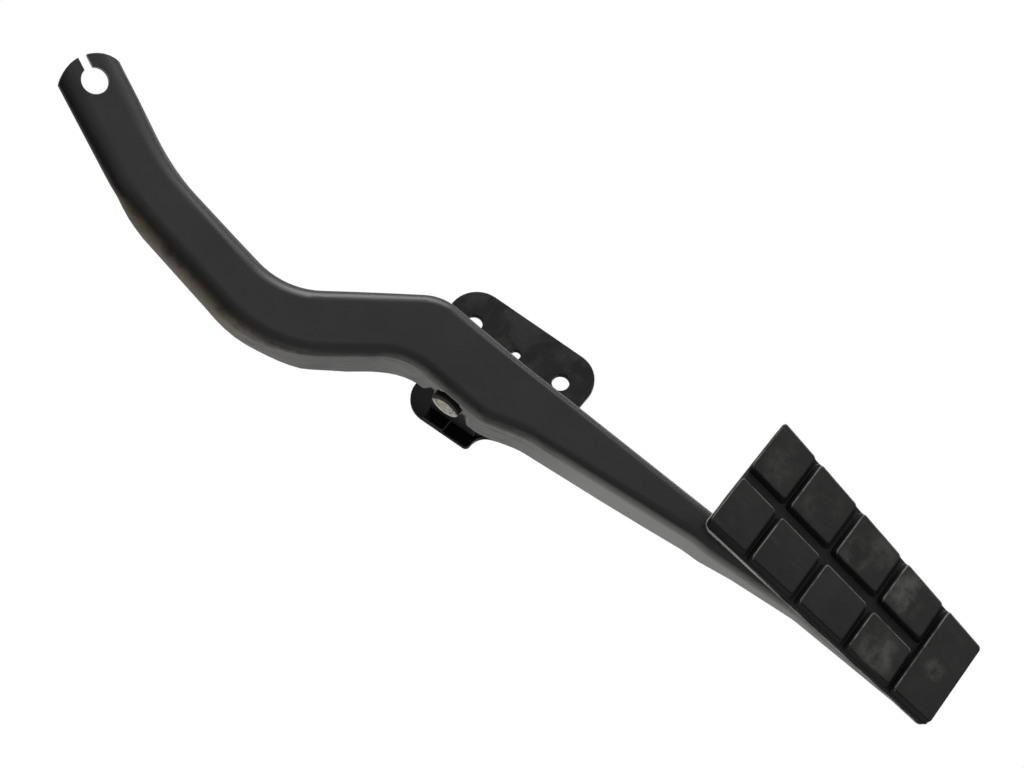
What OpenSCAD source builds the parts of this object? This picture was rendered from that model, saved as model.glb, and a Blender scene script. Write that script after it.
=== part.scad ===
// Accelerator pedal: a pressed channel arm on a pivot bracket.
// Origin on the mounting face, straight behind the pivot. X runs along the
// pivot, -Y points at the driver, +Z at the cable end. Millimetres.

/* [Bracket] */
// Angle that the arm leans at rest against the plate
rest_angle = 15; // [10:0.5:20]
// Thickness of the mounting plate
plate_t = 2.5; // [2:0.1:3.5]
// Height of the pivot above the front of the plate
pivot_h = 26; // [24:0.5:34]
// Length of the plate along the arm
plate_len = 69; // [66:0.5:90]
// Plate edge to the right of the pivot centre
plate_right = 47.6; // [44:0.1:60]
// Lobe edge to the left of the pivot centre
plate_left = 14.6; // [13:0.1:20]
// How far the plate's middle lies below the pivot
plate_drop = 1.8; // [0:0.1:4]
// Radius of the plate's large corners
plate_r = 12.5; // [8:0.5:15]
// Height of the lobe's upper end above the pivot
lobe_top = 22.5; // [20:0.5:28]
// Depth of the lobe's lower end below the pivot
lobe_low = 11.6; // [11.5:0.1:16]
// Where the plate's left edge leaves the lobe
waist_x = -6.5; // [-7:0.5:-3]
// Hollow radius between lobe and plate
waist_r = 7.5; // [5:0.5:8]
// Radius of the lobe's sharp corner
lobe_r = 2.2; // [1.5:0.1:2.4]
// Bore of the two fixing holes
fix_d = 7.2; // [5:0.1:8.5]
// Distance between the fixing holes
fix_pitch = 44; // [38:0.5:52]
// Distance from the fixing holes to the plate's right edge
fix_edge = 14.8; // [11:0.1:18]
// Bore of the locating hole between them
locate_d = 4.2; // [3:0.1:6]
// How far the locating hole lies left of the fixing holes
locate_in = 1.1; // [0:0.1:3]
// How far the plate's left edge slants towards its lower end
waist_slant = 9.5; // [6:0.5:14]

/* [Pivot] */
// Shank diameter of the pivot pin
pin_d = 8; // [6:0.1:9]
// Head diameter of the pivot pin
head_d = 13.3; // [11.5:0.1:13.6]
// Head thickness of the pivot pin
head_t = 2.4; // [1.5:0.1:3]
// Running clearance around the pin, on the radius
pin_fit = 0.05; // [0.02:0.01:0.1]
// Wall of the bushes
bush_wall = 1.2; // [0.8:0.1:1.6]
// Flange thickness of the bushes
bush_flange_t = 1; // [0.6:0.1:1.5]
// Flange diameter of the bushes
bush_flange_d = 13; // [12:0.1:14]
// Sheet of the saddle that carries the pin
saddle_t = 2.5; // [2:0.1:3]
// Length of the saddle along the plate
saddle_len = 22; // [20:0.5:23]
// Radius of the ears around the pin
ear_r = 9; // [8:0.1:10]
// Side clearance of the turning parts
side_gap = 0.15; // [0.1:0.05:0.5]
// Thickness of the washer under the clip
washer_t = 1; // [0.6:0.1:1.5]
// Thickness of the retaining clip
clip_t = 0.8; // [0.6:0.1:1.2]
// Wire of the return spring
wire_d = 1.9; // [1.4:0.1:2.1]
// Turns of the return spring
spring_turns = 5; // [4:1:5]

/* [Arm] */
// Sheet of the arm
sheet = 2.2; // [1.6:0.1:2.6]
// Outer bend radius of the arm's lower half
bend_r = 5; // [3.5:0.1:5.4]
// Width of the broad bends along the arm's upper half
bend_up = 8; // [5:0.1:8.4]
// Web face in front of the pivot
web_rise = 17; // [16:0.1:19]
// Width of the arm at the pivot
pivot_w = 31.3; // [30:0.1:36]
// Depth of the dish around the pin
dish_depth = 2.6; // [1.5:0.1:3]
// Flat radius of the dish around the pin
dish_flat = 8.6; // [8.4:0.1:9.4]
// Radius of the lug that carries the pin below the flange's edge
lug_r = 7.2; // [6.8:0.1:7.6]
// Width of the arm's upper half
upper_w = 28.4; // [25:0.1:31]
// Height of the cable hole above the pivot
key_z = 193.2; // [185:0.1:205]
// Sideways place of the cable hole
key_x = -12.1; // [-16:0.1:-8]
// Bore of the cable hole
key_d = 11.8; // [9:0.1:13]
// Width of the cable slot
slot_w = 4.1; // [3:0.1:5.5]
// Tongue beyond the centre of the cable hole
tongue_end = 11.4; // [9.5:0.1:14]
// Radius of the tongue's rounded end
tongue_r = 17; // [15:0.5:20]
// How far the middle of that end lies left of the cable hole
tongue_skew = 0.7; // [0:0.1:2]
// Sideways crank of the upper half
crank_x = -41.8; // [-46:0.1:-36]
// Height of the crank above the pivot
crank_z = 75.2; // [70:0.1:80]

/* [Pad] */
// Upper edge of the pad below the pivot
pad_drop = 111; // [105:0.5:118]
// Middle of the pad's upper edge, right of the pivot centre
pad_x = 38.1; // [35:0.1:40]
// How far the pad reaches up past the arm's bend
pad_over = 1.4; // [0:0.1:3]
// Lean of the pad away from the driver
pad_lean = 18.7; // [16:0.1:21]
// Turn of the pad in its own plane
pad_turn = 1.7; // [0:0.1:4]
// Pad width at the upper edge
pad_top_w = 54.4; // [48:0.1:60]
// Pad width at the lower edge
pad_low_w = 39.8; // [36:0.1:46]
// Pad length
pad_len = 127; // [120:0.5:134]
// How much lower the pad's lower left corner lies than its right one
pad_slant = 1.6; // [0:0.1:4]
// How far the steel plate shows around the rubber
plate_rim = 0.9; // [0:0.1:1.5]
// Pad corner radius
pad_r = 3; // [2.5:0.1:7]
// Steel plate under the pad
pad_plate_t = 1.6; // [1.2:0.1:2.4]
// Rubber base under the blocks
rubber_base = 2.2; // [1.6:0.1:3]
// Height of the tread blocks
block_h = 4.3; // [3:0.1:5.5]
// Width of the cross grooves
groove_w = 2; // [1.6:0.1:3.4]
// Width of the middle groove
groove_mid = 4.6; // [3:0.1:6]
// Rounding of the block edges
block_r = 0.7; // [0.5:0.1:1.6]

/* [Hidden] */
$fn = 64;
eps = 0.01;

steel_black = "#2b2b2b";
steel_gloss = "#1d1d1d";
zinc = "#c9c6c0";
nylon = "#d9d4c4";
spring_steel = "#77756f";
rubber = "#353535";

pivot_y = -plate_t - pivot_h;
plate_mid = -plate_drop;
fix_x = plate_right - fix_edge;

dish_out = pivot_w / 2 - dish_depth;
dish_in = dish_out - sheet;
dish_soft = dish_flat + 3;
pin_bore = pin_d + 2 * pin_fit;
ear_out = dish_in - bush_flange_t - side_gap;
ear_in = ear_out - saddle_t;
bush_d = pin_bore + 2 * bush_wall;
clip_x = dish_out + washer_t + 2 * side_gap;
pin_end = clip_x + clip_t + side_gap + 1.2;
coil_r = pin_d / 2 + 0.7 + wire_d / 2;

// The arm's frame, turned to its rest position about the pivot
module on_arm() {
    translate([0, pivot_y, 0])
        rotate([rest_angle, 0, 0])
            children();
}

// The pad's frame: its upper edge's middle, on the web, leaning back
module on_pad() {
    on_arm()
        translate([pad_x, -web_rise, -pad_drop])
            rotate([pad_lean, 0, 0])
                rotate([0, -pad_turn, 0])
                    translate([0, 0, pad_over])
                        children();
}

// A disc or rod along X from x0 to x1
module rod_x(d, x0, x1) {
    translate([x0, 0, 0])
        rotate([0, 90, 0])
            cylinder(d = d, h = x1 - x0);
}

// A flat shape drawn in X and Z, as a sheet whose front lies at y and back at y + t
module sheet_y(y, t) {
    translate([0, y + t, 0])
        rotate([90, 0, 0])
            linear_extrude(height = t)
                children();
}

// Corner rounding of a polygon: [x, z, radius] becomes points along the arc
function unit(v) = v / norm(v);
function corner_arc(a, b, c, n) =
    let (u = unit([a[0] - b[0], a[1] - b[1]]),
        v = unit([c[0] - b[0], c[1] - b[1]]),
        half = acos(max(-1, min(1, u * v))) / 2,
        run = b[2] / tan(half),
        mid = [b[0], b[1]] + unit(u + v) * b[2] / sin(half),
        p = [b[0], b[1]] + u * run - mid,
        q = [b[0], b[1]] + v * run - mid,
        turn = cross(p, q) > 0 ? 1 : -1,
        sweep = turn * acos(max(-1, min(1, unit(p) * unit(q)))))
    [for (i = [0:n]) mid + [p[0] * cos(sweep * i / n) - p[1] * sin(sweep * i / n),
        p[0] * sin(sweep * i / n) + p[1] * cos(sweep * i / n)]];
function rounded(path, n = 10) =
    let (m = len(path))
    [for (i = [0:m - 1])
        each path[i][2] > 0
            ? corner_arc(path[(i + m - 1) % m], path[i], path[(i + 1) % m], n)
            : [[path[i][0], path[i][1]]]];

// Mounting plate: a long rounded plate with a lobe to the left of the pivot
plate_outline = [
    [plate_right, plate_mid + plate_len / 2, plate_r],
    [plate_right, plate_mid - plate_len / 2, plate_r],
    [waist_x + waist_slant, plate_mid - plate_len / 2, 6],
    [waist_x, -lobe_low, waist_r],
    [-plate_left, -lobe_low, lobe_r],
    [-plate_left, lobe_top, 11],
    [waist_x + 7, lobe_top, 3],
    [waist_x + 13, plate_mid + plate_len / 2, plate_r]];

module base_plate() {
    color(steel_gloss)
        difference() {
            sheet_y(-plate_t, plate_t)
                polygon(rounded(plate_outline));
            for (side = [-1, 1])
                translate([fix_x, eps, plate_mid + side * fix_pitch / 2])
                    rotate([90, 0, 0])
                        cylinder(d = fix_d, h = plate_t + 2 * eps);
            translate([fix_x - locate_in, eps, plate_mid])
                rotate([90, 0, 0])
                    cylinder(d = locate_d, h = plate_t + 2 * eps);
        }
}

// Saddle: a folded channel whose two ears carry the pin; a heel on each ear
// meets the web and stops the arm as it springs back
fold_r = 3.5;
heel_z = [1.5, 8];
heel_gap = 0.3;
ear_foot = [-saddle_len / 2, saddle_len / 2];

module saddle_section() {
    top = pivot_h + ear_r + web_rise;
    difference() {
        polygon(rounded([[-ear_out, 0, fold_r], [ear_out, 0, fold_r], [ear_out, top, 0],
            [-ear_out, top, 0]]));
        polygon(rounded([[-ear_in, saddle_t, fold_r - saddle_t], [ear_in, saddle_t, fold_r - saddle_t],
            [ear_in, top + 1, 0], [-ear_in, top + 1, 0]]));
    }
}

module ear_profile() {
    heel_y = web_rise - sheet - heel_gap;
    circle(r = ear_r);
    polygon([[ear_foot[0], -pivot_h], [ear_foot[1], -pivot_h], [ear_foot[1], -pivot_h + 6],
        [ear_r * cos(25), ear_r * sin(25)], [-ear_r * cos(25), ear_r * sin(25)],
        [ear_foot[0], -pivot_h + 6]]);
    rotate(-rest_angle)
        polygon(rounded([[heel_z[0] - 6, 0, 0], [heel_z[1] + 1, 0, 0], [heel_z[1], heel_y, 1.5],
            [heel_z[0], heel_y, 1.5]], 4));
}

// Foot of the left ear, spread flat on the plate's lobe
foot_t = 1.6;
foot_low = 0.8;
module saddle_foot() {
    intersection() {
        sheet_y(-plate_t - foot_t, foot_t)
            polygon(rounded(plate_outline));
        translate([-plate_left - 1, -pivot_h, foot_low])
            cube([plate_left + 1 - ear_in, pivot_h, saddle_len / 2 - foot_low]);
    }
}

module pivot_saddle() {
    color(steel_gloss)
        difference() {
            union() {
                saddle_foot();
                intersection() {
                    translate([0, -plate_t, -saddle_len])
                        mirror([0, 1, 0])
                            linear_extrude(height = 2 * saddle_len)
                                saddle_section();
                    translate([-pivot_w, pivot_y, 0])
                        rotate([0, -90, 180])
                            linear_extrude(height = 2 * pivot_w)
                                ear_profile();
                }
            }
            translate([0, pivot_y, 0])
                rod_x(bush_d, -pivot_w, pivot_w);
        }
}

// Flanged bush in an ear, flange outwards
module bush(side) {
    color(nylon)
        translate([0, pivot_y, 0])
            rotate([0, 0, side < 0 ? 180 : 0])
                difference() {
                    union() {
                        rod_x(bush_d, ear_in, ear_out);
                        rod_x(bush_flange_d, ear_out, ear_out + bush_flange_t);
                    }
                    rod_x(pin_bore, ear_in - 1, ear_out + bush_flange_t + 1);
                }
}

module bush_left() {
    bush(-1);
}

module bush_right() {
    bush(1);
}

// Pin with its head in the left dish and a clip groove at the right
groove_d = pin_d - 1.4;
head_edge = 0.5;

module pivot_pin() {
    color(zinc)
        translate([0, pivot_y, 0])
            rotate([0, 90, 0])
                rotate_extrude()
                    polygon([[0, -dish_out - head_t], [head_d * 0.3, -dish_out - head_t],
                        [head_d * 0.3, -dish_out - head_t + 0.3],
                        [head_d * 0.3 + 0.3, -dish_out - head_t],
                        [head_d / 2 - head_edge, -dish_out - head_t],
                        [head_d / 2, -dish_out - head_t + head_edge],
                        [head_d / 2, -dish_out], [pin_d / 2, -dish_out],
                        [pin_d / 2, clip_x], [groove_d / 2, clip_x],
                        [groove_d / 2, clip_x + clip_t + side_gap],
                        [pin_d / 2, clip_x + clip_t + side_gap],
                        [pin_d / 2, pin_end - 0.8], [pin_d / 2 - 0.8, pin_end], [0, pin_end]]);
}

module pin_washer() {
    color(zinc)
        translate([0, pivot_y, 0])
            difference() {
                rod_x(head_d, dish_out, dish_out + washer_t);
                rod_x(pin_d + 0.3, dish_out - 1, dish_out + washer_t + 1);
            }
}

// Clip: a split ring pressed into the groove from below
module pin_clip() {
    color(spring_steel)
        translate([0, pivot_y, 0])
            difference() {
                rod_x(pin_d + 4.6, clip_x, clip_x + clip_t);
                rod_x(groove_d, clip_x - 1, clip_x + clip_t + 1);
                translate([clip_x - 1, 0, -groove_d * 0.36])
                    cube([clip_t + 2, pin_d * 2, groove_d * 0.72]);
                for (side = [-1, 1])
                    translate([clip_x - 1, -1.5, side * pin_d * 0.5 - 1.1])
                        cube([clip_t + 2, 3, 2.2]);
            }
}

// Return spring: a coil on the pin, one leg on the web, the other on the plate
coil_len = 2 * (ear_in - 0.5) - wire_d;
coil_steps = 18;
leg_reach = 23;
web_leg_y = -(web_rise - sheet - wire_d / 2 - 0.3);
function in_rest(p) = [p[0], p[1] * cos(rest_angle) - p[2] * sin(rest_angle),
    p[1] * sin(rest_angle) + p[2] * cos(rest_angle)];
spring_path = concat(
    [in_rest([-coil_len / 2, web_leg_y - 0.1, -leg_reach - 4]),
        in_rest([-coil_len / 2, web_leg_y, -leg_reach])],
    [for (i = [0:coil_steps * spring_turns + coil_steps / 2])
        let (a = -100 - i * 360 / coil_steps)
        [-coil_len / 2 + coil_len * i / (coil_steps * (spring_turns + 0.5)),
            coil_r * sin(a), -coil_r * cos(a)]],
    [[coil_len / 2, pivot_h - wire_d / 2 - 0.3, -leg_reach],
        [coil_len / 2, pivot_h - wire_d / 2 - 0.1, -leg_reach - 3]]);

function tangent(path, i) =
    unit(path[min(i + 1, len(path) - 1)] - path[max(i - 1, 0)]);
function wire_ring(path, i, d, n) =
    let (t = tangent(path, i),
        u = unit(cross(t, [1, 0.02, 0.03])),
        v = cross(t, u))
    [for (k = [0:n - 1]) path[i] + d / 2 * (u * cos(k * 360 / n) + v * sin(k * 360 / n))];

module wire(path, d, n) {
    m = len(path);
    polyhedron(
        points = [for (i = [0:m - 1]) each wire_ring(path, i, d, n)],
        faces = concat(
            [[for (k = [0:n - 1]) k]],
            [for (i = [0:m - 2], k = [0:n - 1])
                [i * n + k, (i + 1) * n + k, (i + 1) * n + (k + 1) % n, i * n + (k + 1) % n]],
            [[for (k = [n - 1:-1:0]) (m - 1) * n + k]]),
        convexity = 6);
}

module return_spring() {
    color(spring_steel)
        translate([0, pivot_y, 0])
            wire(spring_path, wire_d, 8);
}

// Arm: a channel pressed along two edges. Each edge is a list of corners,
// [sideways, along, radius], from the tongue down to the end behind the pad.
neck = [-31.9, 148.7];
tongue_dir = unit([key_x - neck[0], key_z - neck[1]]);
tongue_side = [tongue_dir[1], -tongue_dir[0]];
tongue_tip = [key_x, key_z] + tongue_dir * tongue_end;
half_up = upper_w / 2;
foot_z = -pad_drop - (pad_len - pad_over) * cos(pad_lean) + 9;
foot_x = pad_x - pad_low_w / 2 + 3.6;
function at_height(a, b, z) = a + (b - a) * (z - a[1]) / (b[1] - a[1]);
left_edge = [
    concat(tongue_tip - tongue_side * half_up, 0),
    [neck[0] - half_up + 0.7, neck[1] + 2.8, 110],
    [crank_x - half_up - 0.7, crank_z - 4.1, 60],
    [-pivot_w / 2, 25.4, 30],
    [-pivot_w / 2, -14.7, 15],
    [-8.9, -33.5, 40],
    concat(at_height([-8.9, -33.5], [4.5, -pad_drop - 8], -pad_drop), 0),
    [4.5, -pad_drop - 8, 30],
    [15.4, -pad_drop - 53, 30],
    [foot_x, foot_z, 0]];
right_edge = [
    concat(tongue_tip + tongue_side * half_up, 0),
    [neck[0] + half_up + 0.2, neck[1] - 2.6, 100],
    [crank_x + half_up + 1.5, crank_z + 4.6, 34],
    [pivot_w / 2, 29.5, 22],
    [pivot_w / 2, -14.7, 30],
    [16.5, -34, 60],
    concat(at_height([16.5, -34], [19.4, -pad_drop - 8], -pad_drop), 0),
    [19.4, -pad_drop - 8, 60],
    [30.5, -pad_drop - 53, 30],
    [foot_x + 14, foot_z, 0]];

// Depth of the flanges, from the web face to the free edge, along the arm
flange_run = [
    [foot_z, 3.4], [-pad_drop - 53, 9], [-pad_drop - 24, 11.5], [-pad_drop - 8, 15.5],
    [-pad_drop + 3, 17.2], [-76, 18.4], [-36, 18.4], [-20, 19.8], [-14.2, 17], [14.2, 17],
    [22, 20.4], [30, 24.6], [38, 26], [46, 24], [54, 22.6], [62, 18.5], [70, 15.4], [84, 13.8],
    [98, 10.9]];
flange_neck = [[138, 10], [147, 8], [156, 4.3]];
flange_neck_right = [[122, 9.8], [145, 7.6], [174, 4.4]];
function flange_depth(side) =
    concat(flange_run, side < 0 ? flange_neck : flange_neck_right, [[key_z + tongue_end, 3.8]]);

// Width of the bends, from the flange's outer face to the flat web
bend_width = [[crank_z - 22, bend_r], [crank_z + 24, bend_up]];

// Where the rings of the loft lie: arcs at the corners, runs between them
arc_steps = [0, 6, 10, 7, 3, 4, 0, 3, 3, 0];
run_steps = [5, 3, 3, 0, 2, 4, 1, 3, 3];
dish_z = concat(
    [dish_soft, dish_flat + 1.6, dish_flat],
    [for (a = [90:-15:-90]) lug_r * sin(a)],
    [-dish_flat, -dish_flat - 1.6, -dish_soft]);

function edge_rings(edge) =
    let (arcs = [for (i = [0:len(edge) - 1])
        edge[i][2] > 0
            ? corner_arc(edge[i - 1], edge[i], edge[i + 1], arc_steps[i])
            : [[edge[i][0], edge[i][1]]]])
    [for (i = [0:len(edge) - 1])
        each concat(arcs[i],
            i == 3 ? [for (z = dish_z) [edge[3][0], z]]
            : i < len(edge) - 1 && run_steps[i] > 1
                ? let (a = arcs[i][len(arcs[i]) - 1], b = arcs[i + 1][0])
                [for (k = [1:run_steps[i] - 1]) a + (b - a) * k / run_steps[i]]
                : [])];

function inward(rings, i, side) =
    let (d = unit(rings[min(i + 1, len(rings) - 1)] - rings[max(i - 1, 0)]))
    side * [d[1], -d[0]];

function web_y(z) = -web_rise + max(0, -pad_drop - z) * tan(pad_lean);
function smooth(t) = let (u = max(0, min(1, t))) u * u * (3 - 2 * u);
function lug_y(z) = abs(z) < lug_r ? sqrt(lug_r * lug_r - z * z) : 0;

// One side of a ring, from the free edge up round the bend to the web
flange_steps = 8;
bend_steps = 5;
function side_points(p, n, side, inner) =
    let (z = p[1],
        depth = lookup(z, flange_depth(side)),
        top = web_y(z),
        wide = lookup(z, bend_width),
        r = min(wide, depth - 0.4),
        free = top + depth + lug_y(z),
        skin = inner ? sheet : 0,
        flat = [for (k = [0:flange_steps]) [skin, free + (top + r - free) * k / flange_steps]],
        arc = [for (k = [1:bend_steps])
            let (a = 90 - 90 * k / bend_steps)
            [wide - (wide - skin) * sin(a), top + r - (r - skin) * cos(a)]],
        dish = side * (inner ? dish_in : dish_out))
    [for (q = concat(flat, arc))
        let (x = p[0] + n[0] * q[0],
            far = norm([q[1], z]),
            w = 1 - smooth((far - dish_flat) / (dish_soft - dish_flat)))
        [x + (dish - x) * w, q[1] + web_y(z + n[1] * q[0]) - top, z + n[1] * q[0]]];

function reversed(list) = [for (i = [len(list) - 1:-1:0]) list[i]];

module channel(left, right) {
    m = len(left);
    skin = [for (i = [0:m - 1])
        let (nl = inward(left, i, -1), nr = inward(right, i, 1))
        concat(side_points(left[i], nl, -1, false),
            reversed(side_points(right[i], nr, 1, false)),
            side_points(right[i], nr, 1, true),
            reversed(side_points(left[i], nl, -1, true)))];
    n = len(skin[0]);
    half = n / 2;
    polyhedron(
        points = [for (ring = skin) each ring],
        faces = concat(
            [for (i = [0:m - 2], k = [0:n - 1])
                let (a = i * n + k, b = i * n + (k + 1) % n)
                each [[a, b, b + n], [a, b + n, a + n]]],
            [for (k = [0:half - 2]) [k, n - 1 - k, n - 2 - k, k + 1]],
            [for (k = [0:half - 2])
                let (o = (m - 1) * n) [o + k, o + k + 1, o + n - 2 - k, o + n - 1 - k]]),
        convexity = 10);
}

// What the tongue loses at its rounded end, and the cable's way in
module tongue_cut() {
    reach = upper_w;
    translate([key_x, 0, key_z])
        rotate([0, atan2(tongue_dir[0], tongue_dir[1]), 0]) {
            sheet_y(-web_rise - 1, bend_r + 6)
                translate([-tongue_skew, tongue_end - tongue_r])
                    difference() {
                        translate([-reach, 0])
                            square([2 * reach, 2 * tongue_r]);
                        circle(r = tongue_r, $fn = 128);
                    }
            translate([0, -web_rise + sheet + 1, 0])
                rotate([90, 0, 0])
                    cylinder(d = key_d, h = sheet + 2);
            translate([-slot_w / 2, -web_rise - 1, 0])
                cube([slot_w, sheet + 2, tongue_end + 1]);
        }
}

module pedal_arm() {
    color(steel_black)
        on_arm()
            difference() {
                channel(edge_rings(left_edge), edge_rings(right_edge));
                rod_x(pin_bore, -pivot_w, pivot_w);
                tongue_cut();
            }
}

// Pad plate and rubber share one outline, drawn with its upper edge at 0
function pad_half(z) = pad_top_w / 2 + (pad_low_w - pad_top_w) / 2 * (-z) / pad_len;
module pad_outline(inset) {
    polygon(rounded([
        [-pad_half(0) + inset, -inset, pad_r - inset / 2],
        [pad_half(0) - inset, -inset, pad_r - inset / 2],
        [pad_half(-pad_len) - inset, -pad_len + pad_slant / 2 + inset, pad_r - inset / 2],
        [-pad_half(-pad_len) + inset, -pad_len - pad_slant / 2 + inset, pad_r - inset / 2]], 6));
}

// Moulded buttons that hold the rubber, in the part that the arm leaves free
button_d = 7;
button_h = 2;
button_z = [-0.16 * pad_len, -0.49 * pad_len, -0.82 * pad_len];
button_x = [12, 9, 8];

module pad_plate() {
    color(steel_black)
        on_pad()
            difference() {
                sheet_y(-pad_plate_t, pad_plate_t)
                    pad_outline(-plate_rim);
                for (i = [0:len(button_z) - 1])
                    translate([button_x[i], 1, button_z[i]])
                        rotate([90, 0, 0])
                            cylinder(d = button_d, h = pad_plate_t + 2);
            }
}

// Lower limits of the tread rows, as parts of the pad's length
row_z = [0, 0.1725, 0.393, 0.619, 0.835, 1];
// Slope of each row's limit, as rise to the right per sideways millimetre
row_slope = [0, 0.03, 0.07, 0.085, 0.045, pad_slant / pad_low_w];
block_edge = 0.5;

// One tread block: an upright wall with its upper edges rolled over
module block(corners, low, r) {
    steps = [[0, 0], [0, block_h - block_r], [0.3 * block_r, block_h - 0.3 * block_r],
        [block_r, block_h]];
    rings = [for (s = steps) block_ring(corners, s[0], low + s[1], r)];
    n = len(rings[0]);
    m = len(rings);
    polyhedron(
        points = [for (ring = rings) each ring],
        faces = concat(
            [[for (k = [n - 1:-1:0]) k]],
            [for (i = [0:m - 2], k = [0:n - 1])
                [i * n + k, i * n + (k + 1) % n, (i + 1) * n + (k + 1) % n, (i + 1) * n + k]],
            [[for (k = [0:n - 1]) (m - 1) * n + k]]));
}

function block_ring(corners, inset, height, r) =
    let (mid = (corners[0] + corners[1] + corners[2] + corners[3]) / 4,
        path = [for (c = corners)
            let (d = c - mid)
            [c[0] - sign(d[0]) * inset, c[1] - sign(d[1]) * inset, r]])
    [for (p = rounded(path, 4)) [p[0], -height, p[1]]];

// Corners of a block between two row limits and two sides, clockwise
function row_at(i, x) = -row_z[i] * pad_len + row_slope[i] * x;
function block_corners(i, left, right) =
    let (top = i == 0 ? block_edge : groove_w / 2,
        low = i == len(row_z) - 2 ? block_edge : groove_w / 2,
        z0 = -row_z[i] * pad_len - top,
        z1 = -row_z[i + 1] * pad_len + low,
        x0 = left ? [-pad_half(z0) + block_edge, -pad_half(z1) + block_edge]
            : [groove_mid / 2, groove_mid / 2],
        x1 = right ? [pad_half(z0) - block_edge, pad_half(z1) - block_edge]
            : [-groove_mid / 2, -groove_mid / 2])
    [[x0[0], row_at(i, x0[0]) - top], [x1[0], row_at(i, x1[0]) - top],
        [x1[1], row_at(i + 1, x1[1]) + low], [x0[1], row_at(i + 1, x0[1]) + low]];

module pad_rubber() {
    low = pad_plate_t + rubber_base - eps;
    last = len(row_z) - 2;
    color(rubber)
        on_pad() {
            sheet_y(-pad_plate_t - rubber_base, rubber_base)
                pad_outline(0);
            for (i = [0:last - 1]) {
                block(block_corners(i, true, false), low, 1.5);
                block(block_corners(i, false, true), low, 1.5);
            }
            block(block_corners(last, true, true), low, 1.8);
            for (i = [0:len(button_z) - 1])
                translate([button_x[i], 0, button_z[i]])
                    rotate([90, 0, 0]) {
                        cylinder(d = button_d - 0.2, h = pad_plate_t + eps);
                        translate([0, 0, -button_h])
                            cylinder(d1 = button_d - 2, d2 = button_d + 2.4, h = button_h);
                    }
        }
}

base_plate();
pivot_saddle();
bush_left();
bush_right();
pivot_pin();
pin_washer();
pin_clip();
return_spring();
pedal_arm();
pad_plate();
pad_rubber();
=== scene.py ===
import math

import bpy
import bmesh
from mathutils import Matrix, Vector


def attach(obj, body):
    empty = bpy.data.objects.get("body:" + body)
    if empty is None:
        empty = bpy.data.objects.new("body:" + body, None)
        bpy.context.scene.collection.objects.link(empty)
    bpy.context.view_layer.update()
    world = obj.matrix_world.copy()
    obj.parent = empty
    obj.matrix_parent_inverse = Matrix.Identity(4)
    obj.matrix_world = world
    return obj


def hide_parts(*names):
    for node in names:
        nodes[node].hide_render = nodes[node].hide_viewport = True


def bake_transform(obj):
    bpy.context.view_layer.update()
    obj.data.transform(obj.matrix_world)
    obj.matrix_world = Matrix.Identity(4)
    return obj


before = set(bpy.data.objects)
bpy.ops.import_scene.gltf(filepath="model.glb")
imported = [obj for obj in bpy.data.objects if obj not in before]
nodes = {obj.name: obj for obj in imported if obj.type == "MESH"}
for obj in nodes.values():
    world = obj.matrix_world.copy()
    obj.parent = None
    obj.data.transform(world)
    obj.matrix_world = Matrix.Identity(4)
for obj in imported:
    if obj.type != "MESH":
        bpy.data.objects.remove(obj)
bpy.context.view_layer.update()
print("stage: frame loaded")

mm = 0.001
touch = 0.05 * mm  # a point this near a plane counts as on it

# where the arm and the pad stand at rest, in millimetres and degrees, as in the part's source
restSettings = {"pivotY": -28.5, "armLean": 15, "padAt": (38.1, -17, -111), "padLean": 18.7,
                "padTurn": -1.7, "padOver": 1.4}


def about(axis, degrees, size=4):
    return Matrix.Rotation(math.radians(degrees), size, axis)


pivot = Vector((0, restSettings["pivotY"], 0)) * mm
armPlace = Matrix.Translation(pivot) @ about("X", restSettings["armLean"])
padPlace = (armPlace @ Matrix.Translation(Vector(restSettings["padAt"]) * mm)
            @ about("X", restSettings["padLean"]) @ about("Y", restSettings["padTurn"])
            @ Matrix.Translation(Vector((0, 0, restSettings["padOver"])) * mm))


# working in edit mode
def clearPick():
    if bpy.context.mode != "OBJECT":
        bpy.ops.object.mode_set(mode="OBJECT")
    bpy.ops.object.select_all(action="DESELECT")


def pickOnly(*objs):
    clearPick()
    for obj in objs:
        obj.select_set(True)
    bpy.context.view_layer.objects.active = objs[0]


def named(name):
    obj = bpy.context.object
    obj.name = obj.data.name = name
    return obj


def editOn(obj, mode="EDGE"):
    pickOnly(obj)
    bpy.ops.object.mode_set(mode="EDIT")
    bpy.ops.mesh.select_mode(type=mode)
    bpy.ops.mesh.select_all(action="DESELECT")


def editOff():
    bpy.ops.object.mode_set(mode="OBJECT")


def selectVerts(obj, test):
    work = bmesh.from_edit_mesh(obj.data)
    for vert in work.verts:
        vert.select = bool(test(vert.co))
    work.select_flush_mode()
    work.select_flush(True)
    bmesh.update_edit_mesh(obj.data)


def selectEdges(obj, test):
    work = bmesh.from_edit_mesh(obj.data)
    for edge in work.edges:
        edge.select = bool(test(edge))
    bmesh.update_edit_mesh(obj.data)


def selectFaces(obj, test):
    work = bmesh.from_edit_mesh(obj.data)
    for face in work.faces:
        face.select = bool(test(face))
    bmesh.update_edit_mesh(obj.data)


# working on whole objects
def addMod(obj, kind, **settings):
    mod = obj.modifiers.new(kind.title(), kind)
    for key, value in settings.items():
        setattr(mod, key, value)


def applyMods(obj):
    pickOnly(obj)
    for mod in list(obj.modifiers):
        bpy.ops.object.modifier_apply(modifier=mod.name)


def smoothByAngle(obj, degrees):
    pickOnly(obj)
    bpy.ops.object.shade_smooth_by_angle(angle=math.radians(degrees))


def applyPlace():
    bpy.ops.object.transform_apply(location=True, rotation=True, scale=True)


def place(obj, matrix):
    obj.data.transform(matrix)
    obj.data.update()


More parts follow.
